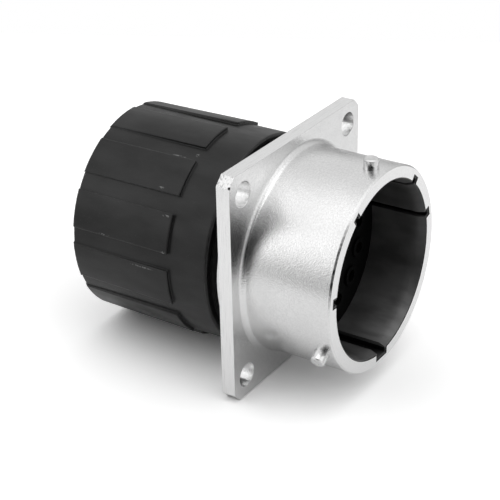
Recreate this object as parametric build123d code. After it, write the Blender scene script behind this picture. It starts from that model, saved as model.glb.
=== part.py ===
from build123d import *
import math
import os

# Square flange receptacle with a screwed-on backshell.
# +X runs out of the mating mouth, +Z is up, and the origin is the centre of the flange's rear face.
# All sizes are in millimetres. Places along X are measured from the flange's rear face.

# Flange
flange_side = 42.9
flange_thickness = 2.6
flange_corner_chamfer = 1.6
mounting_hole_inset = 3.985
mounting_hole_diameter = 4.5

# Barrel and its bore
barrel_diameter = 37.5
barrel_length = 17.3
barrel_root_radius = 1.2
mouth_edge_chamfer = 0.3
barrel_wall = 2.3
insert_seat_depth = 15.9

# Keyways, as angles round the bore from +Y towards +Z
master_key_angle = 270.0
minor_key_angles = (15.0, 50.0, 125.0, 175.0)
master_key_width = 3.9
minor_key_width = 1.95
keyway_depth = 1.2

# Bayonet studs
stud_angles = {"top": 90.0, "left": 210.0, "right": 330.0}
stud_diameter = 2.7
stud_height = 1.85
stud_seat_depth = 1.6
stud_setback = 2.9
stud_edge_chamfer = 0.2

# Rear of the shell
boss_step = 0.25
boss_length = 2.4
boss_rear_chamfer = 0.3
spigot_step = 1.4
spigot_length = 10.6
spigot_end_chamfer = 0.5
insert_seat_width = 0.85
insert_bore_rear = 4.0
lock_shoulder_width = 0.6

# Front insert
insert_face_depth = 10.9
insert_tail_length = 9.5
socket_boss_diameter = 3.8
socket_boss_height = 0.5
socket_hole_diameter = 2.2

# Lining between the insert and the mouth
lining_thickness = 0.65
lining_setback = 0.15
lining_front_land = 0.15
lining_lead_length = 1.2
key_groove_wall = 0.4

# Rings of contacts
inner_ring_count = 4
inner_ring_diameter = 9.2
inner_ring_first_angle = 45.0
outer_ring_count = 12
outer_ring_diameter = 20.8
outer_ring_first_angle = 15.0

# Socket contacts
contact_setback = 1.2
contact_bore_diameter = 1.6
contact_bore_depth = 8.0

# Lock ring and grommet
lock_ring_thickness = 1.0
lock_ring_groove_depth = 0.6
lock_ring_gap = 3.0
lock_ring_edge_play = 0.05
grommet_length = 5.5
grommet_gap = 0.3
wire_hole_diameter = 1.4

# Follower
follower_length = 2.5
follower_ring_width = 4.5
follower_gap = 0.25

# Seal ring
seal_width = 1.1
seal_height = 0.8
seal_gap = 0.3

# Backshell
backshell_collar_step = 0.5
backshell_length = 29.2
backshell_collar_length = 7.9
backshell_front_edge = 0.3
backshell_rear_chamfer = 0.5
backshell_rear_wall = 2.5
backshell_side_wall = 3.3
cable_outlet_diameter = 18.0
cable_outlet_edge = 0.5
pad_count = 12
pad_first_angle = 10.0
pad_width_angle = 20.6
pad_rear_height = 0.27
pad_front_height = 0.56

# Clearances
insert_fit = 0.05
stud_fit = 0.01
thread_fit = 0.05
contact_fit = 0.05
seal_fit = 0.05

# Angle at which a turned piece starts
turn_start_angle = 90.0

# Places and radii worked out from the sizes above
mouth_x = flange_thickness + barrel_length
seat_x = mouth_x - insert_seat_depth
face_x = mouth_x - insert_face_depth
barrel_radius = barrel_diameter / 2
bore_radius = barrel_radius - barrel_wall
keyway_radius = bore_radius + keyway_depth
insert_bore_radius = bore_radius - insert_seat_width
lock_bore_radius = insert_bore_radius + lock_shoulder_width
boss_radius = barrel_radius + boss_step
spigot_radius = boss_radius - spigot_step
spigot_end_x = -boss_length - spigot_length
insert_tail_x = -insert_tail_length
lock_shoulder_x = -insert_bore_rear
insert_tail_radius = insert_bore_radius - insert_fit
lock_groove_radius = insert_tail_radius - lock_ring_groove_depth
grommet_rear_x = insert_tail_x - grommet_length
follower_rear_x = grommet_rear_x - follower_length
seal_front_x = -boss_length - seal_gap
backshell_front_x = seal_front_x - seal_width - seal_gap
backshell_rear_x = backshell_front_x - backshell_length
pad_front_x = backshell_front_x - backshell_collar_length
collar_radius = boss_radius + backshell_collar_step
follower_radius = spigot_radius + thread_fit - follower_gap
boss_face_x = face_x + socket_boss_height
contact_front_x = boss_face_x - contact_setback


def turned(*outline, arc=360.0):
    """Solid turned about X from a closed outline of (x, radius) points."""
    face = Plane.XZ * make_face(Polyline(*outline, close=True))
    return revolve(face, axis=Axis.X, revolution_arc=arc)


def tube(front_x, rear_x, outer_radius, inner_radius=0.0):
    """Ring or disc about X between two places."""
    return turned(
        (rear_x, inner_radius), (front_x, inner_radius), (front_x, outer_radius), (rear_x, outer_radius)
    )


def radial_block(front_x, rear_x, inner_radius, outer_radius, width, angle):
    """Block that stands out from X at an angle, between two radii."""
    length = front_x - rear_x
    height = outer_radius - inner_radius
    block = Box(length, height, width, align=(Align.MIN, Align.MIN, Align.CENTER))
    return Rot(angle, 0, 0) * Pos(rear_x, inner_radius, 0) * block


def keys():
    """Angle and width of each keyway."""
    minor = [(angle, minor_key_width) for angle in minor_key_angles]
    return [(master_key_angle, master_key_width)] + minor


def ring_places(ring, count, diameter, first_angle):
    """Centre, as (y, z), of each contact in one ring, by name."""
    places = {}
    for i in range(count):
        angle = math.radians(first_angle + 360.0 * i / count)
        places[f"{ring}_{i + 1:02d}"] = (diameter / 2 * math.cos(angle), diameter / 2 * math.sin(angle))
    return places


def contact_places():
    """Centre, as (y, z), of each contact, by name."""
    inner = ring_places("inner", inner_ring_count, inner_ring_diameter, inner_ring_first_angle)
    outer = ring_places("outer", outer_ring_count, outer_ring_diameter, outer_ring_first_angle)
    return inner | outer


def at_places(solid, places):
    """Copies of a solid made on X, moved to each place."""
    return [Pos(0, y, z) * solid for y, z in places]


def flange():
    """Square plate with flat corners."""
    plate = Plane.YZ * Rectangle(flange_side, flange_side)
    plate = chamfer(plate.vertices(), flange_corner_chamfer)
    return extrude(plate, flange_thickness)


def mounting_holes():
    """Four through holes."""
    half = flange_side / 2 - mounting_hole_inset
    drill = tube(flange_thickness, 0.0, mounting_hole_diameter / 2)
    return at_places(drill, [(y, z) for y in (-half, half) for z in (-half, half)])


def barrel_and_rear():
    """Barrel, rear boss and threaded spigot as one turned bar."""
    return turned(
        (spigot_end_x, 0.0), (spigot_end_x, spigot_radius - spigot_end_chamfer),
        (spigot_end_x + spigot_end_chamfer, spigot_radius), (-boss_length, spigot_radius),
        (-boss_length, boss_radius - boss_rear_chamfer), (boss_rear_chamfer - boss_length, boss_radius),
        (0.0, boss_radius), (0.0, barrel_radius),
        (mouth_x - mouth_edge_chamfer, barrel_radius), (mouth_x, barrel_radius - mouth_edge_chamfer),
        (mouth_x, 0.0),
    )


def barrel_root(body):
    """Circle where the barrel meets the flange's front."""
    circles = body.edges().filter_by(GeomType.CIRCLE)
    return circles.filter_by_position(Axis.X, flange_thickness, flange_thickness)


def shell_bore():
    """Stepped bore: lined mouth, insert bore and lock ring bore."""
    front = tube(mouth_x, seat_x, bore_radius)
    middle = tube(seat_x, lock_shoulder_x, insert_bore_radius)
    rear = tube(lock_shoulder_x, spigot_end_x, lock_bore_radius)
    return front + middle + rear


def upright(radius):
    """Round bar as long as a stud, standing on the XY plane."""
    return Cylinder(radius, stud_seat_depth + stud_height, align=(Align.CENTER, Align.CENTER, Align.MIN))


def in_barrel(bar, angle):
    """Bar moved to a stud's seat in the barrel wall, pointing outwards at an angle."""
    floor_radius = barrel_radius - stud_seat_depth
    return Rot(angle, 0, 0) * Pos(mouth_x - stud_setback, floor_radius, 0) * Rot(-90, 0, 0) * bar


def shell():
    """Flange, barrel and rear in one piece."""
    body = flange() + barrel_and_rear()
    body = fillet(barrel_root(body), barrel_root_radius)
    body -= shell_bore()
    body -= mounting_holes()
    body -= [radial_block(mouth_x, seat_x, 0.0, keyway_radius, width, angle) for angle, width in keys()]
    body -= [in_barrel(upright(stud_diameter / 2), angle) for angle in stud_angles.values()]
    return body


def bayonet_stud(angle):
    """Pressed-in stud with an eased end."""
    stud = upright(stud_diameter / 2 - stud_fit)
    stud = chamfer(stud.edges().sort_by(Axis.Z)[-1], stud_edge_chamfer)
    return in_barrel(stud, angle)


def keyed_sleeve(front_x, rear_x, radius, key_radius, key_play):
    """Round bar with a rib for each keyway."""
    bar = tube(front_x, rear_x, radius)
    return bar + [
        radial_block(front_x, rear_x, 0.0, key_radius, width - 2 * key_play, angle)
        for angle, width in keys()
    ]


def front_insert():
    """Insulator with key ribs, socket bosses and contact holes."""
    body = keyed_sleeve(face_x, seat_x, bore_radius - insert_fit, keyway_radius - insert_fit, insert_fit)
    body += tube(seat_x, insert_tail_x, insert_tail_radius)
    groove_rear_x = lock_shoulder_x - lock_ring_thickness - lock_ring_edge_play
    body -= tube(lock_shoulder_x, groove_rear_x, insert_bore_radius, lock_groove_radius)
    places = contact_places().values()
    body += at_places(tube(boss_face_x, seat_x, socket_boss_diameter / 2), places)
    return body - at_places(tube(boss_face_x, insert_tail_x, socket_hole_diameter / 2), places)


def bore_lining():
    """Thin sleeve that lines the bore and its keyways, with a key groove in each."""
    front_x = mouth_x - lining_setback
    outer = bore_radius - insert_fit
    key_outer = keyway_radius - insert_fit
    inner = outer - lining_thickness
    sleeve = keyed_sleeve(front_x, face_x, outer, key_outer, insert_fit)
    sleeve -= keyed_sleeve(front_x, face_x, inner, key_outer - key_groove_wall, insert_fit + key_groove_wall)
    lead_x = front_x - lining_lead_length
    return sleeve - turned(
        (lead_x, 0.0), (lead_x, inner), (front_x, outer - lining_front_land), (front_x, 0.0)
    )


def insert_lock_ring():
    """Split ring in the insert's groove, behind the shell's shoulder."""
    outer = lock_bore_radius - insert_fit
    rear_x = lock_shoulder_x - lock_ring_thickness
    ring = tube(lock_shoulder_x, rear_x, outer, lock_groove_radius + insert_fit)
    return ring - radial_block(lock_shoulder_x, rear_x, 0.0, outer, lock_ring_gap, master_key_angle)


def wire_grommet():
    """Soft disc behind the insert with one wire hole for each contact."""
    disc = tube(insert_tail_x, grommet_rear_x, lock_bore_radius - grommet_gap)
    hole = tube(insert_tail_x, grommet_rear_x, wire_hole_diameter / 2)
    return disc - at_places(hole, contact_places().values())


def socket_contact():
    """One contact on X, bored at its front for the mating pin."""
    outer = socket_hole_diameter / 2 - contact_fit
    inner = contact_bore_diameter / 2
    bore_end_x = contact_front_x - contact_bore_depth
    return turned(
        (insert_tail_x, 0.0), (insert_tail_x, outer), (contact_front_x, outer),
        (contact_front_x, inner), (bore_end_x, inner), (bore_end_x, 0.0),
    )


def shell_seal():
    """Rubber ring on the spigot, between the boss and the backshell."""
    inner = spigot_radius + seal_fit
    return tube(seal_front_x, seal_front_x - seal_width, inner + seal_height, inner)


def grip_pad(angle):
    """One raised pad that rises towards the flange and ends in a step."""
    root_radius = collar_radius - backshell_rear_chamfer
    rear_radius = collar_radius + pad_rear_height
    pad = turned(
        (backshell_rear_x, root_radius), (pad_front_x, root_radius),
        (pad_front_x, collar_radius + pad_front_height),
        (backshell_rear_x + backshell_rear_chamfer, rear_radius),
        (backshell_rear_x, rear_radius - backshell_rear_chamfer),
        arc=pad_width_angle,
    )
    return Rot(angle - turn_start_angle - pad_width_angle / 2, 0, 0) * pad


def backshell():
    """Moulded body with its grip pads, thread bore, wire cavity and cable outlet."""
    body = turned(
        (backshell_rear_x, 0.0), (backshell_rear_x, collar_radius - backshell_rear_chamfer),
        (backshell_rear_x + backshell_rear_chamfer, collar_radius),
        (backshell_front_x - backshell_front_edge, collar_radius),
        (backshell_front_x, collar_radius - backshell_front_edge), (backshell_front_x, 0.0),
    )
    step = 360.0 / pad_count
    body += [grip_pad(pad_first_angle + step * i) for i in range(pad_count)]
    body -= tube(backshell_front_x, follower_rear_x, spigot_radius + thread_fit)
    outlet_front_x = backshell_rear_x + backshell_rear_wall
    outlet_radius = cable_outlet_diameter / 2
    body -= tube(follower_rear_x, outlet_front_x, collar_radius - backshell_side_wall)
    return body - turned(
        (backshell_rear_x, 0.0), (backshell_rear_x, outlet_radius + cable_outlet_edge),
        (backshell_rear_x + cable_outlet_edge, outlet_radius),
        (outlet_front_x, outlet_radius), (outlet_front_x, 0.0),
    )


def pieces():
    """Every piece by node name."""
    parts = {
        "shell": shell(),
        "front_insert": front_insert(),
        "bore_lining": bore_lining(),
        "insert_lock_ring": insert_lock_ring(),
        "wire_grommet": wire_grommet(),
        "follower_ring": tube(
            grommet_rear_x, follower_rear_x, follower_radius, follower_radius - follower_ring_width
        ),
        "shell_seal": shell_seal(),
        "backshell": backshell(),
    }
    for name, angle in stud_angles.items():
        parts[f"bayonet_stud_{name}"] = bayonet_stud(angle)
    for name, (y, z) in contact_places().items():
        parts[f"socket_contact_{name}"] = Pos(0, y, z) * socket_contact()
    return parts


os.makedirs("parts", exist_ok=True)
for node, solid in pieces().items():
    export_step(solid, f"parts/{node}.step")
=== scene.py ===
import math

import bpy
from mathutils import Matrix, Vector


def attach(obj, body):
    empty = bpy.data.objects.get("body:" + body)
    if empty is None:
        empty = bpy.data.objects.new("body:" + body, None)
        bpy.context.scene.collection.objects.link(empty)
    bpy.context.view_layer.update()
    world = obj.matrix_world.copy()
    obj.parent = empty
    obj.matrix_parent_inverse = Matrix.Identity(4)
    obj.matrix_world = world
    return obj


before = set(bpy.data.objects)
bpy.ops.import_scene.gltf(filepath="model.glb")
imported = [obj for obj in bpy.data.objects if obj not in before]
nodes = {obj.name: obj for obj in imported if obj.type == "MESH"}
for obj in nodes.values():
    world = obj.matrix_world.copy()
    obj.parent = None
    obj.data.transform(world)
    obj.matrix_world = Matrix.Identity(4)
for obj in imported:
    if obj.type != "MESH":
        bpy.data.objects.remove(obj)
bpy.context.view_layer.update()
scene = bpy.context.scene
scene.view_settings.view_transform = "Standard"

MM = 0.001
EVEN = (1.0, 1.0, 1.0)

# Camera, fitted to the photograph: direction, roll, distance, aim, focal length and the
# distances between which it sees
CAMERA_AZIMUTH = 33.452
CAMERA_ELEVATION = 27.313
CAMERA_ROLL = -1.194
CAMERA_DISTANCE = 262.76 * MM
CAMERA_AIM_RIGHT = -6.447 * MM
CAMERA_AIM_UP = -1.166 * MM
CAMERA_LENS = 105.23
CAMERA_NEAR = 0.01
CAMERA_FAR = 10.0
SENSOR_WIDTH = 36.0

# Floor: level with the flange's lower rear edge and with the backshell's rear pads
FLANGE_LOW = -21.45 * MM
PAD_REAR_X = -32.7 * MM
PAD_REAR_LOW = -19.77 * MM
FLOOR_REACH = 0.16
FLOOR_FRONT = 0.088
FLOOR_ROUGHNESS = 0.9

# Floor's paleness as a light on the object, and as the camera sees it: over 1, because the
# studio's level is under 1
FLOOR_COLOUR = 0.95
FLOOR_SEEN = 1.32

# Studio: even level, then soft panels as azimuth, elevation, sharpness and added strength
WORLD_BASE = 0.72
WORLD_PANELS = (
    (60.0, 80.0, 10.0, 1.05),
    (-47.0, 68.0, 10.0, 0.38),
    (-43.0, 20.0, 12.0, 0.90),
    (102.0, 30.0, 10.0, 0.60),
    (-145.0, 30.0, 10.0, 0.10),
    (34.0, 16.0, 6.0, -0.90),
    (-10.0, 15.0, 25.0, -0.60),
)

# Dark band of the room beyond the paper: rise of its middle, half height and added strength
ROOM_RISE = -0.03
ROOM_HALF = 0.19
ROOM_GAIN = -0.30

# Screw thread on the spigot, in mm: rear start, turns, steps in a turn and in each run-out,
# and its section. Edges sharper than THREAD_SHARP degrees stay sharp
THREAD_REAR_X = -12.45
THREAD_PITCH = 1.411
THREAD_TURNS = 5.6
THREAD_STEPS = 120
THREAD_RUN_OUT = 18
THREAD_ROOT_RADIUS = 17.5
THREAD_HEIGHT = 0.45
THREAD_ROOT_HALF = 0.40
THREAD_CREST_HALF = 0.12
THREAD_SHARP = 35.0

# Below, a tone is a linear grey, a grain is noise features per metre, a span or a reach is
# where a soft step starts and ends, an ease is the radius that sharp edges are rounded by,
# and a turn is part of a whole turn about the X axis, from +Y towards +Z

# Noise that counts as least and most, and how eased edges are made and told from faces
NOISE_SPAN = (0.3, 0.7)
EDGE_SAMPLES = 8
EDGE_COSINES = (0.86, 0.985)

# Shell: fillet at the barrel's root as its radius and its middle in X and radius, and the
# crease in it: place, reach, then softness, start and jump as parts of a right angle
ROOT_RADIUS = 1.2 * MM
ROOT_MIDDLE = (3.8 * MM, 19.95 * MM)
CREASE_TURN = 0.422
CREASE_REACH = (0.010, 0.085)
CREASE_SOFT = 0.14
CREASE_SHARE = 0.26
CREASE_JUMP = 0.26

# Shell: flange edges with milling lines, worn corner flats and a nick. Edges start at a
# distance from the middle planes, corner flats at the sum of both distances
FLANGE_EDGE = 21.44 * MM
FLANGE_EDGE_TONE = 0.87
MILLING_GRAIN = 7500.0
MILLING_STRETCH = (1.0, 0.03, 0.03)
MILLING_SPAN = (0.32, 0.50)
MILLING_TONE = 0.76
CORNER_EDGE = 41.28 * MM
CORNER_GRAIN = 1900.0
CORNER_SPAN = (0.52, 0.64)
CORNER_WEAR = 0.8
CORNER_TONE = 0.42
NICK_PLACE = (2.5 * MM, -21.3 * MM, 19.95 * MM)
NICK_SPAN = (0.15 * MM, 0.34 * MM)
NICK_TONE = 0.02

# Shell: plating, edges lightened as wear and painted highlight, crisper from MOUTH_EDGE_X on
SHELL_EASE = 0.14 * MM
MOUTH_EDGE_X = 19.4 * MM
MOUTH_EASE = 0.05 * MM
BLAST_GRAIN = 4600.0
BLAST_DEPTH = 0.05 * MM
BLAST_STRENGTH = 0.70
PLATE_GRAIN = 110.0
PLATE_TONES = (0.80, 0.84)
PLATE_SPECK_GRAIN = 3300.0
PLATE_SPECK_SHARE = 0.6
PLATE_SPECK_TONE = 0.67
PLATE_EDGE_WEAR_AND_GLINT_TONE = 0.90
PLATE_GLOSS_GRAIN = 300.0
PLATE_ROUGHNESS = (0.18, 0.25)

# Shell: bore nearly black as painted shade, plain rim, and a painted dark reflection on the
# left of the rim's outer chamfer
BORE_X = (10.0 * MM, 19.88 * MM)
BORE_RADIUS = 17.9 * MM
BORE_SHADE_TONE = 0.005
RIM_FACE_X = 19.87 * MM
RIM_FACE_TONE = 0.87
CHAMFER_X = (19.56 * MM, 19.87 * MM)
CHAMFER_RADIUS = 18.4 * MM
RIM_REFLECTION_TURN = 0.417
RIM_REFLECTION_REACH = (0.035, 0.058)
RIM_REFLECTION_GRAIN = 1500.0
RIM_REFLECTION_SHARES = (0.2, 1.0)
RIM_REFLECTION_TONE = 0.03

# Turned metal
TURNED_GRAIN = 900.0
TURNED_MARK_GRAIN = 3500.0
TURNED_MARK_DEPTH = 0.010 * MM
TURNED_MARK_STRENGTH = 0.5
TURNED_GLOSS_GRAIN = 1500.0
TURNED_ROUGHER = 0.08
GOLD_TONES = ((0.70, 0.50, 0.20, 1.0), (0.82, 0.62, 0.28, 1.0))

# Moulded pieces inside
MOULDED_GRAIN = 260.0
MOULDED_FACE_GRAIN = 3600.0
MOULDED_FACE_DEPTH = 0.006 * MM
MOULDED_FACE_STRENGTH = 0.5
MOULDED_GLOSS_GRAIN = 500.0
MOULDED_ROUGHER = 0.1

# Seal, with its lips' pitch along X and half a lip as a part of that pitch
SEAL_GLOSS = 0.12
SEAL_EASE = 0.1 * MM
SEAL_LIP_PITCH = 0.37 * MM
SEAL_LIP_HALF = 0.5
SEAL_LIP_DEPTH = 0.5 * MM
SEAL_LIP_STRENGTH = 0.7
SEAL_GRAIN = 900.0
SEAL_TONES = (0.003, 0.006)
SEAL_GLOSS_GRAIN = 700.0
SEAL_ROUGHNESS = (0.42, 0.55)

# Lining: its lead-in, painted light low on its right towards the mouth, and its folds round
# the keyways, nearly black as painted shade
LEAD_X = (16.4 * MM, 19.74 * MM)
LEAD_SLOPE = 0.42
LEAD_FACING = 0.8
LINING_EASE = 0.14 * MM
LINING_GRAIN = 260.0
LINING_STRETCH = (0.5, 1.0, 1.0)
LINING_TONES = (0.042, 0.080)
LINING_GLOSS_GRAIN = 500.0
LINING_ROUGHNESS = (0.34, 0.46)
PAINTED_LIGHT_SPAN_X = (11.0 * MM, 18.5 * MM)
PAINTED_LIGHT_SPAN_Y = (-1.0 * MM, 4.0 * MM)
PAINTED_LIGHT_SPAN_Z = (-15.5 * MM, -6.0 * MM)
PAINTED_LIGHT_DEEP_SHARE = 0.18
PAINTED_LIGHT_GRAIN = 420.0
PAINTED_LIGHT_STRETCH = (0.3, 1.0, 1.0)
PAINTED_LIGHT_SHARES = (0.35, 1.0)
PAINTED_LIGHT_TONE = 0.20
PAINTED_LIGHT_EDGE_TONE = 0.16
KEY_INNER_RADIUS = 16.42 * MM
KEY_SHADE_TONE = 0.002

# Backshell
BACKSHELL_GLOSS = 0.33
BACKSHELL_EASE = 0.45 * MM
SPARK_GRAIN = 2600.0
SPARK_DEPTH = 0.012 * MM
SPARK_STRENGTH = 0.5
BACKSHELL_GRAIN = 230.0
BACKSHELL_STRETCH = (0.4, 1.0, 1.0)
BACKSHELL_TONES = (0.0045, 0.0165)
DUST_GRAIN = 5200.0
DUST_SPAN = (0.70, 0.78)
DUST_SHARE = 0.5
DUST_TONE = 0.06
BACKSHELL_GLOSS_GRAIN = 330.0
BACKSHELL_GLOSS_STRETCH = (0.5, 1.0, 1.0)
BACKSHELL_ROUGHNESS = (0.28, 0.40)

# Backshell: pads' outer edges and the collar's front edge, lightened as wear and painted highlight
PAD_EDGE_RADIUS = 19.62 * MM
PAD_EDGE_SHARE = 0.3
COLLAR_EDGE_X = -4.7 * MM
GLINT_AND_WEAR_GRAIN = 700.0
GLINT_AND_WEAR_SHARES = (0.25, 1.0)
GLINT_AND_WEAR_TONE = 0.095

# Scuffs on the backshell: place along X, angle from +Y towards +Z in degrees, and half
# lengths along X and round it, in mm. SCUFF_DEPTH keeps them on the pads' outer faces
SCUFFS = (
    (-12.6, 115.5, 0.5, 0.45),
    (-15.8, 118.6, 2.2, 0.20),
    (-15.9, 138.4, 0.8, 0.30),
    (-13.3, 151.5, 0.9, 0.26),
    (-12.8, 169.8, 0.7, 0.28),
    (-25.8, 169.6, 1.4, 0.22),
    (-17.5, 181.2, 3.0, 0.16),
)
SCUFF_RADIUS = 19.9
SCUFF_DEPTH = 0.6
SCUFF_FADE = (0.1, 1.0)
SCUFF_GRAIN = 2600.0
SCUFF_SPAN = (0.44, 0.60)
SCUFF_TONE = 0.20


def axes_of_view(azimuth, elevation, roll=0.0):
    """Right, up and back directions of a camera that looks at the origin, from degrees."""
    azimuth, elevation, roll = (math.radians(angle) for angle in (azimuth, elevation, roll))
    back = Vector((
        math.sin(azimuth) * math.cos(elevation),
        -math.cos(azimuth) * math.cos(elevation),
        math.sin(elevation),
    ))
    level_right = Vector((math.cos(azimuth), math.sin(azimuth), 0.0))
    level_up = back.cross(level_right)
    right = math.cos(roll) * level_right + math.sin(roll) * level_up
    up = math.cos(roll) * level_up - math.sin(roll) * level_right
    return right, up, back


def make_thread(material):
    """Right-handed thread that stands on the plain spigot and runs out at both ends."""
    sides, last = 4, round(THREAD_TURNS * THREAD_STEPS)
    corners, faces = [], [tuple(range(sides))]
    for step in range(last + 1):
        turn = math.tau * step / THREAD_STEPS
        along = THREAD_REAR_X + THREAD_PITCH * step / THREAD_STEPS
        share = min(1.0, step / THREAD_RUN_OUT, (last - step) / THREAD_RUN_OUT)
        crest = THREAD_ROOT_RADIUS + THREAD_HEIGHT * share
        section = (
            (-THREAD_ROOT_HALF, THREAD_ROOT_RADIUS), (-THREAD_CREST_HALF, crest),
            (THREAD_CREST_HALF, crest), (THREAD_ROOT_HALF, THREAD_ROOT_RADIUS),
        )
        for aside, radius in section:
            corner = Vector((along + aside, radius * math.cos(turn), radius * math.sin(turn)))
            corners.append(corner * MM)
        if step:
            low, high = sides * (step - 1), sides * step
            for i in range(sides):
                after = (i + 1) % sides
                faces.append((low + i, high + i, high + after, low + after))
    faces.append(tuple(reversed(range(sides * last, sides * (last + 1)))))
    mesh = bpy.data.meshes.new("spigot_thread")
    mesh.from_pydata(corners, [], faces)
    mesh.shade_smooth()
    mesh.set_sharp_from_angle(angle=math.radians(THREAD_SHARP))
    mesh.materials.append(material)
    thread = bpy.data.objects.new("spigot_thread", mesh)
    scene.collection.objects.link(thread)
    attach(thread, "receptacle")


def make_camera():
    """Camera at the photograph's place."""
    right, up, back = axes_of_view(CAMERA_AZIMUTH, CAMERA_ELEVATION, CAMERA_ROLL)
    data = bpy.data.cameras.new("camera")
    data.sensor_width = SENSOR_WIDTH
    data.lens = CAMERA_LENS
    data.clip_start = CAMERA_NEAR
    data.clip_end = CAMERA_FAR
    camera = bpy.data.objects.new("camera", data)
    place = back * CAMERA_DISTANCE + right * CAMERA_AIM_RIGHT + up * CAMERA_AIM_UP
    turn = Matrix((right, up, back)).transposed().to_4x4()
    camera.matrix_world = Matrix.Translation(place) @ turn
    scene.collection.objects.link(camera)
    scene.camera = camera


class Nodes:
    """Short way to build a node tree. Values may be sockets or plain numbers."""

    def __init__(self, tree, coordinates):
        self.tree = tree
        self.place = self.add("ShaderNodeTexCoord").outputs[coordinates]
        split = self.add("ShaderNodeSeparateXYZ")
        self.feed(self.place, split.inputs["Vector"])
        self.x, self.y, self.z = split.outputs

    def add(self, kind, **values):
        node = self.tree.nodes.new(kind)
        for key, value in values.items():
            setattr(node, key, value)
        return node

    def feed(self, value, target):
        """Links a socket to another, or sets a plain value on it."""
        if isinstance(value, bpy.types.NodeSocket):
            self.tree.links.new(value, target)
        else:
            target.default_value = value

    def math(self, operation, *values):
        node = self.add("ShaderNodeMath", operation=operation)
        for value, target in zip(values, node.inputs):
            self.feed(value, target)
        return node.outputs["Value"]

    def vector(self, operation, *values):
        node = self.add("ShaderNodeVectorMath", operation=operation)
        for value, target in zip(values, node.inputs):
            self.feed(value, target)
        return node.outputs["Value" if operation in ("DOT_PRODUCT", "DISTANCE") else "Vector"]

    def product(self, first, *others):
        """All values multiplied."""
        for other in others:
            first = self.math("MULTIPLY", first, other)
        return first

    def above(self, value, level):
        """1 where the value is above a level, else 0."""
        return self.math("GREATER_THAN", value, level)

    def between(self, value, low, high):
        """1 where the value lies between two, else 0."""
        return self.product(self.above(value, low), self.math("LESS_THAN", value, high))

    def span(self, value, low, high, start=0.0, end=1.0):
        """Value from start to end, mapped softly to low to high."""
        node = self.add("ShaderNodeMapRange", interpolation_type="SMOOTHSTEP")
        limits = (("From Min", start), ("From Max", end), ("To Min", low), ("To Max", high))
        for name, number in limits:
            node.inputs[name].default_value = number
        self.feed(value, node.inputs["Value"])
        return node.outputs["Result"]

    def noise(self, scale, detail=4.0, stretch=EVEN):
        """Noise through space, with a number of features per metre."""
        texture = self.add("ShaderNodeTexNoise")
        texture.inputs["Scale"].default_value = scale
        texture.inputs["Detail"].default_value = detail
        self.feed(self.vector("MULTIPLY", self.place, stretch), texture.inputs["Vector"])
        return texture.outputs["Fac"]

    def mixed(self, factor, first, second, kind="RGBA"):
        """First colour or vector at factor 0, second at 1."""
        node = self.add("ShaderNodeMix", data_type=kind)
        sockets = [s for s in node.inputs if s.enabled]
        for value, target in zip((factor, first, second), sockets):
            self.feed(value, target)
        return next(s for s in node.outputs if s.enabled)


class Surface(Nodes):
    """One material on a Principled shader."""

    def __init__(self, name, metallic=0.0, gloss=0.5):
        self.material = bpy.data.materials.new(name)
        self.material.use_nodes = True
        super().__init__(self.material.node_tree, "Object")
        self.shader = self.tree.nodes["Principled BSDF"]
        self.shader.inputs["Metallic"].default_value = metallic
        self.shader.inputs["Specular IOR Level"].default_value = gloss
        self.true_normal = self.add("ShaderNodeNewGeometry").outputs["True Normal"]
        squares = self.math("MULTIPLY_ADD", self.y, self.y, self.math("MULTIPLY", self.z, self.z))
        self.radius = self.math("SQRT", squares)
        self.turn = self.math("DIVIDE", self.math("ARCTAN2", self.z, self.y), math.tau)
        across = self.vector("MULTIPLY", self.place, (0.0, 1.0, 1.0))
        self.radial = self.vector("NORMALIZE", across)

    def clouds(self, scale, low, high, stretch=EVEN):
        """Level that drifts between two values."""
        return self.span(self.noise(scale, stretch=stretch), low, high, *NOISE_SPAN)

    def tones(self, scale, low, high, stretch=EVEN):
        """Colour that drifts between two colours."""
        return self.mixed(self.clouds(scale, 0.0, 1.0, stretch), low, high)

    def near_turn(self, turn, reach):
        """1 at a turn round the barrel, 0 beyond its reach."""
        aside = self.math("ABSOLUTE", self.math("SUBTRACT", self.turn, turn))
        return self.span(aside, 1.0, 0.0, *reach)

    def eased(self, radius):
        """Normal with every sharp edge eased."""
        bevel = self.add("ShaderNodeBevel", samples=EDGE_SAMPLES)
        self.feed(radius, bevel.inputs["Radius"])
        return bevel.outputs["Normal"]

    def at_edges(self, normal):
        """1 at eased edges, 0 on plain faces."""
        cosine = self.vector("DOT_PRODUCT", normal, self.true_normal)
        return self.span(cosine, 1.0, 0.0, *EDGE_COSINES)

    def bump(self, height, distance, strength, normal):
        node = self.add("ShaderNodeBump")
        node.inputs["Distance"].default_value = distance
        self.feed(strength, node.inputs["Strength"])
        self.feed(height, node.inputs["Height"])
        self.feed(normal, node.inputs["Normal"])
        return node.outputs["Normal"]

    def finish(self, colour, roughness, normal):
        self.feed(colour, self.shader.inputs["Base Color"])
        self.feed(roughness, self.shader.inputs["Roughness"])
        self.feed(normal, self.shader.inputs["Normal"])
        return self.material


def grey(level):
    return (level, level, level, 1.0)


def greys(levels):
    return [grey(level) for level in levels]


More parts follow.
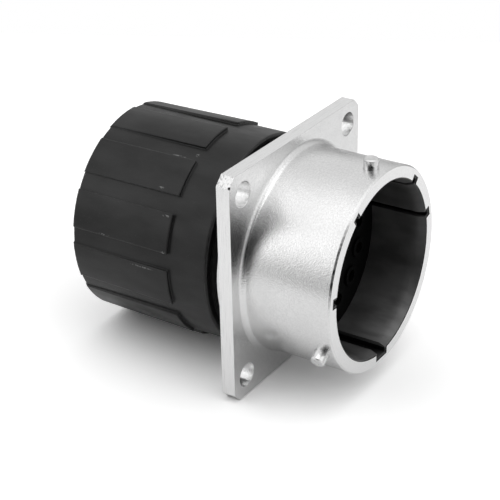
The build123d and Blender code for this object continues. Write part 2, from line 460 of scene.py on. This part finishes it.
def creased_root(m, normal):
    """Normal of the shell, with its root's fillet creased on the left, to thin its highlight."""
    forward = m.math("SUBTRACT", ROOT_MIDDLE[0], m.x)
    outward = m.math("SUBTRACT", ROOT_MIDDLE[1], m.radius)
    share = m.math("DIVIDE", m.math("ARCTAN2", forward, outward), math.pi / 2)
    creased = m.near_turn(CREASE_TURN, CREASE_REACH)
    share = m.math("SUBTRACT", share, m.product(creased, CREASE_SHARE))
    jump = m.product(creased, CREASE_JUMP, m.span(share, 0.0, 1.0, 0.0, CREASE_SOFT))
    tilt = m.product(m.math("ADD", m.math("MAXIMUM", share, 0.0), jump), math.pi / 2)
    along = m.add("ShaderNodeCombineXYZ")
    m.feed(m.math("SINE", tilt), along.inputs["X"])
    across = m.vector("SCALE", m.radial)
    m.feed(m.math("COSINE", tilt), across.node.inputs["Scale"])
    in_root = m.product(
        m.between(forward, 0.0, ROOT_RADIUS), m.between(outward, 0.0, ROOT_RADIUS)
    )
    tilted = m.vector("ADD", across, along.outputs["Vector"])
    return m.mixed(in_root, normal, tilted, "VECTOR")


def with_painted_mouth_shade(m, plate):
    """Plating with a bore in painted shade, a plain rim, and a painted dark reflection on the
    chamfer's left.
    """
    in_bore = m.product(m.between(m.x, *BORE_X), m.math("LESS_THAN", m.radius, BORE_RADIUS))
    # Painted shade: the bore's metal nearly black.
    plate = m.mixed(in_bore, plate, grey(BORE_SHADE_TONE))
    plate = m.mixed(m.above(m.x, RIM_FACE_X), plate, grey(RIM_FACE_TONE))
    on_chamfer = m.product(m.between(m.x, *CHAMFER_X), m.above(m.radius, CHAMFER_RADIUS))
    # Painted dark reflection: a broken dark line on the left of the chamfer.
    line = m.product(
        m.near_turn(RIM_REFLECTION_TURN, RIM_REFLECTION_REACH), m.clouds(RIM_REFLECTION_GRAIN, *RIM_REFLECTION_SHARES)
    )
    return m.mixed(m.product(on_chamfer, line), plate, grey(RIM_REFLECTION_TONE))


def with_flange_marks(m, plate):
    """Plating with milling lines on the flange's edges, worn corner flats and one nick."""
    wide, tall = m.math("ABSOLUTE", m.y), m.math("ABSOLUTE", m.z)
    on_edge = m.above(m.math("MAXIMUM", wide, tall), FLANGE_EDGE)
    lines = m.span(m.noise(MILLING_GRAIN, stretch=MILLING_STRETCH), 1.0, 0.0, *MILLING_SPAN)
    plate = m.mixed(on_edge, plate, grey(FLANGE_EDGE_TONE))
    plate = m.mixed(m.product(on_edge, lines), plate, grey(MILLING_TONE))
    on_corner = m.above(m.math("ADD", wide, tall), CORNER_EDGE)
    worn = m.span(m.noise(CORNER_GRAIN), 0.0, CORNER_WEAR, *CORNER_SPAN)
    plate = m.mixed(m.product(on_corner, worn), plate, grey(CORNER_TONE))
    nick = m.span(m.vector("DISTANCE", m.place, NICK_PLACE), 1.0, 0.0, *NICK_SPAN)
    return m.mixed(nick, plate, grey(NICK_TONE))


def shell_material():
    """Blasted and plated metal, with milled flange edges and a creased root."""
    m = Surface("shell_metal", metallic=1.0)
    at_mouth = m.above(m.x, MOUTH_EDGE_X)
    eased = m.eased(m.math("MULTIPLY_ADD", at_mouth, MOUTH_EASE - SHELL_EASE, SHELL_EASE))
    blasted = m.noise(BLAST_GRAIN)
    normal = m.bump(blasted, BLAST_DEPTH, BLAST_STRENGTH, creased_root(m, eased))
    plate = m.tones(PLATE_GRAIN, *greys(PLATE_TONES))
    specks = m.clouds(PLATE_SPECK_GRAIN, 0.0, PLATE_SPECK_SHARE)
    plate = m.mixed(specks, plate, grey(PLATE_SPECK_TONE))
    # Wear and painted highlight: every eased edge lightened.
    plate = m.mixed(m.at_edges(eased), plate, grey(PLATE_EDGE_WEAR_AND_GLINT_TONE))
    plate = with_flange_marks(m, with_painted_mouth_shade(m, plate))
    return m.finish(plate, m.clouds(PLATE_GLOSS_GRAIN, *PLATE_ROUGHNESS), normal)


def turned_metal(name, tones, roughness, ease):
    """Bright turned metal with faint marks."""
    m = Surface(name, metallic=1.0)
    marks = m.noise(TURNED_MARK_GRAIN, detail=2.0)
    normal = m.bump(marks, TURNED_MARK_DEPTH, TURNED_MARK_STRENGTH, m.eased(ease))
    rough = m.clouds(TURNED_GLOSS_GRAIN, roughness, roughness + TURNED_ROUGHER)
    return m.finish(m.tones(TURNED_GRAIN, *tones), rough, normal)


def moulded_plastic(name, tones, roughness, gloss, ease):
    """Moulded plastic or rubber with a fine grain and cloudy tone."""
    m = Surface(name, gloss=gloss)
    grained = m.noise(MOULDED_FACE_GRAIN, detail=3.0)
    normal = m.bump(grained, MOULDED_FACE_DEPTH, MOULDED_FACE_STRENGTH, m.eased(ease))
    rough = m.clouds(MOULDED_GLOSS_GRAIN, roughness, roughness + MOULDED_ROUGHER)
    return m.finish(m.tones(MOULDED_GRAIN, *greys(tones)), rough, normal)


def seal_material():
    """Black rubber with fine lips round its outside."""
    m = Surface("seal_rubber", gloss=SEAL_GLOSS)
    lips = m.math("PINGPONG", m.math("DIVIDE", m.x, SEAL_LIP_PITCH), SEAL_LIP_HALF)
    normal = m.bump(lips, SEAL_LIP_DEPTH, SEAL_LIP_STRENGTH, m.eased(SEAL_EASE))
    colour = m.tones(SEAL_GRAIN, *greys(SEAL_TONES))
    return m.finish(colour, m.clouds(SEAL_GLOSS_GRAIN, *SEAL_ROUGHNESS), normal)


def flared(m, normal):
    """Normal of the lining, with its lead-in rounded off softly towards the mouth."""
    inward = m.vector("NORMALIZE", m.vector("MULTIPLY", m.place, (0.0, -1.0, -1.0)))
    forward = m.add("ShaderNodeCombineXYZ")
    m.feed(m.span(m.x, 0.0, LEAD_SLOPE, *LEAD_X), forward.inputs["X"])
    soft = m.vector("NORMALIZE", m.vector("ADD", inward, forward.outputs["Vector"]))
    on_wall = m.above(m.vector("DOT_PRODUCT", m.true_normal, inward), LEAD_FACING)
    on_lead = m.product(on_wall, m.between(m.x, *LEAD_X))
    return m.mixed(on_lead, normal, soft, "VECTOR")


def lining_material():
    """Satin black plastic, with painted light low on its right, towards the mouth."""
    m = Surface("lining_plastic")
    eased = m.eased(LINING_EASE)
    # Painted light: paler low on the right towards the mouth, and on its edges there.
    near_mouth = m.span(m.x, PAINTED_LIGHT_DEEP_SHARE, 1.0, *PAINTED_LIGHT_SPAN_X)
    low = m.product(m.span(m.z, 1.0, 0.0, *PAINTED_LIGHT_SPAN_Z), m.span(m.y, 0.0, 1.0, *PAINTED_LIGHT_SPAN_Y))
    painted_light = m.product(near_mouth, low, m.clouds(PAINTED_LIGHT_GRAIN, *PAINTED_LIGHT_SHARES, PAINTED_LIGHT_STRETCH))
    colour = m.tones(LINING_GRAIN, *greys(LINING_TONES), LINING_STRETCH)
    colour = m.mixed(painted_light, colour, grey(PAINTED_LIGHT_TONE))
    colour = m.mixed(m.product(m.at_edges(eased), low), colour, grey(PAINTED_LIGHT_EDGE_TONE))
    # Painted shade: the folds round the keyways nearly black.
    colour = m.mixed(m.above(m.radius, KEY_INNER_RADIUS), colour, grey(KEY_SHADE_TONE))
    roughness = m.clouds(LINING_GLOSS_GRAIN, *LINING_ROUGHNESS)
    return m.finish(colour, roughness, flared(m, eased))


def scuffed(m):
    """How much of the backshell's surface is scuffed, from 0 to 1."""
    outside = m.above(m.radius, (SCUFF_RADIUS - SCUFF_DEPTH) * MM)
    total = 0.0
    for place, angle, half_length, half_width in SCUFFS:
        along = m.math("DIVIDE", m.math("SUBTRACT", m.x, place * MM), half_length * MM)
        turn = angle / 360.0 if angle <= 180.0 else angle / 360.0 - 1.0
        widths = math.tau * SCUFF_RADIUS / half_width
        aside = m.product(m.math("SUBTRACT", m.turn, turn), widths)
        far = m.math("MULTIPLY_ADD", along, along, m.product(aside, aside))
        total = m.math("MAXIMUM", total, m.span(far, 1.0, 0.0, *SCUFF_FADE))
    broken = m.span(m.noise(SCUFF_GRAIN), 0.0, 1.0, *SCUFF_SPAN)
    return m.product(total, broken, outside)


def glinting_and_worn_edges(m, eased):
    """How much the pads' outer edges and the backshell's front edge get wear and painted highlight,
    from 0 to 1.
    """
    on_pads = m.product(m.above(m.radius, PAD_EDGE_RADIUS), PAD_EDGE_SHARE)
    outer = m.math("MAXIMUM", on_pads, m.above(m.x, COLLAR_EDGE_X))
    return m.product(m.at_edges(eased), outer, m.clouds(GLINT_AND_WEAR_GRAIN, *GLINT_AND_WEAR_SHARES))


def backshell_material():
    """Spark-textured black plastic with scuffed pad corners."""
    m = Surface("backshell_plastic", gloss=BACKSHELL_GLOSS)
    eased = m.eased(BACKSHELL_EASE)
    normal = m.bump(m.noise(SPARK_GRAIN), SPARK_DEPTH, SPARK_STRENGTH, eased)
    plastic = m.tones(BACKSHELL_GRAIN, *greys(BACKSHELL_TONES), BACKSHELL_STRETCH)
    dust = m.span(m.noise(DUST_GRAIN, detail=1.0), 0.0, DUST_SHARE, *DUST_SPAN)
    plastic = m.mixed(dust, plastic, grey(DUST_TONE))
    # Wear and painted highlight on the pads' outer edges and the collar's front edge.
    plastic = m.mixed(glinting_and_worn_edges(m, eased), plastic, grey(GLINT_AND_WEAR_TONE))
    plastic = m.mixed(scuffed(m), plastic, grey(SCUFF_TONE))
    roughness = m.clouds(BACKSHELL_GLOSS_GRAIN, *BACKSHELL_ROUGHNESS, BACKSHELL_GLOSS_STRETCH)
    return m.finish(plastic, roughness, normal)


def show_to_camera(m, light, seen, output):
    """Makes the camera see one shader, and all other rays the other."""
    mix = m.add("ShaderNodeMixShader")
    m.feed(m.add("ShaderNodeLightPath").outputs["Is Camera Ray"], mix.inputs["Fac"])
    m.feed(light, mix.inputs[1])
    m.feed(seen, mix.inputs[2])
    m.feed(mix.outputs["Shader"], m.tree.nodes[output].inputs["Surface"])


def floor_material():
    """Pale paper that shows as white where nothing shades it."""
    m = Surface("floor", gloss=0.0)
    m.shader.inputs["Base Color"].default_value = grey(FLOOR_COLOUR)
    m.shader.inputs["Roughness"].default_value = FLOOR_ROUGHNESS
    seen = m.add("ShaderNodeBsdfDiffuse")
    seen.inputs["Color"].default_value = grey(FLOOR_SEEN)
    show_to_camera(m, m.shader.outputs["BSDF"], seen.outputs["BSDF"], "Material Output")
    return m.material


def make_floor():
    """Plain pale floor under the object as it lies in the photograph."""
    slope = math.atan2(PAD_REAR_LOW - FLANGE_LOW, -PAD_REAR_X)
    right, _, front = axes_of_view(CAMERA_AZIMUTH, 0.0)
    near, far, side = front * FLOOR_FRONT, -front * FLOOR_REACH, right * FLOOR_REACH
    mesh = bpy.data.meshes.new("floor")
    mesh.from_pydata([near - side, near + side, far + side, far - side], [], [(0, 1, 2, 3)])
    mesh.materials.append(floor_material())
    floor = bpy.data.objects.new("floor", mesh)
    tilt = Matrix.Rotation(slope, 4, "Y")
    floor.matrix_world = Matrix.Translation((0.0, 0.0, FLANGE_LOW)) @ tilt
    scene.collection.objects.link(floor)


def studio_light(w):
    """Strength of the studio's light by direction."""
    strength = WORLD_BASE
    for azimuth, elevation, sharpness, gain in WORLD_PANELS:
        facing = w.vector("DOT_PRODUCT", w.place, axes_of_view(azimuth, elevation)[2])
        lobe = w.math("EXPONENT", w.math("MULTIPLY_ADD", facing, sharpness, -sharpness))
        strength = w.math("MAXIMUM", w.math("MULTIPLY_ADD", lobe, gain, strength), 0.0)
    rise = w.math("DIVIDE", w.math("SUBTRACT", w.z, ROOM_RISE), ROOM_HALF)
    room = w.math("EXPONENT", w.product(rise, rise, -1.0))
    return w.math("MAXIMUM", w.math("MULTIPLY_ADD", room, ROOM_GAIN, strength), 0.0)


def make_world():
    """White behind the object, and round it a pale tent with soft panels and a dark front."""
    world = bpy.data.worlds.new("studio")
    world.use_nodes = True
    w = Nodes(world.node_tree, "Generated")
    light = w.tree.nodes["Background"]
    light.inputs["Color"].default_value = grey(1.0)
    w.feed(studio_light(w), light.inputs["Strength"])
    seen = w.add("ShaderNodeBackground")
    seen.inputs["Color"].default_value = grey(1.0)
    show_to_camera(w, light.outputs["Background"], seen.outputs["Background"], "World Output")
    scene.world = world


def dress(material, *names):
    """Puts one material on CAD nodes."""
    for name in names:
        nodes[name].data.materials.clear()
        nodes[name].data.materials.append(material)


shell_metal = shell_material()
dress(shell_metal, "shell")
make_thread(shell_metal)
dress(
    turned_metal("stud_metal", greys((0.66, 0.78)), roughness=0.08, ease=0.08 * MM),
    "bayonet_stud_top",
)
dress(
    turned_metal("dull_stud_metal", greys((0.70, 0.78)), roughness=0.20, ease=0.08 * MM),
    "bayonet_stud_left", "bayonet_stud_right",
)
dress(
    turned_metal("spring_metal", greys((0.55, 0.62)), roughness=0.22, ease=0.05 * MM),
    "insert_lock_ring",
)
dress(
    turned_metal("contact_metal", GOLD_TONES, roughness=0.18, ease=0.05 * MM),
    *(name for name in nodes if name.startswith("socket_contact")),
)
dress(backshell_material(), "backshell", "follower_ring")
dress(
    moulded_plastic("insert_plastic", (0.0010, 0.0022), roughness=0.50, gloss=0.10, ease=0.08 * MM),
    "front_insert",
)
dress(lining_material(), "bore_lining")
dress(seal_material(), "shell_seal")
dress(
    moulded_plastic("grommet_rubber", (0.006, 0.010), roughness=0.60, gloss=0.40, ease=0.15 * MM),
    "wire_grommet",
)

make_camera()
make_floor()
make_world()
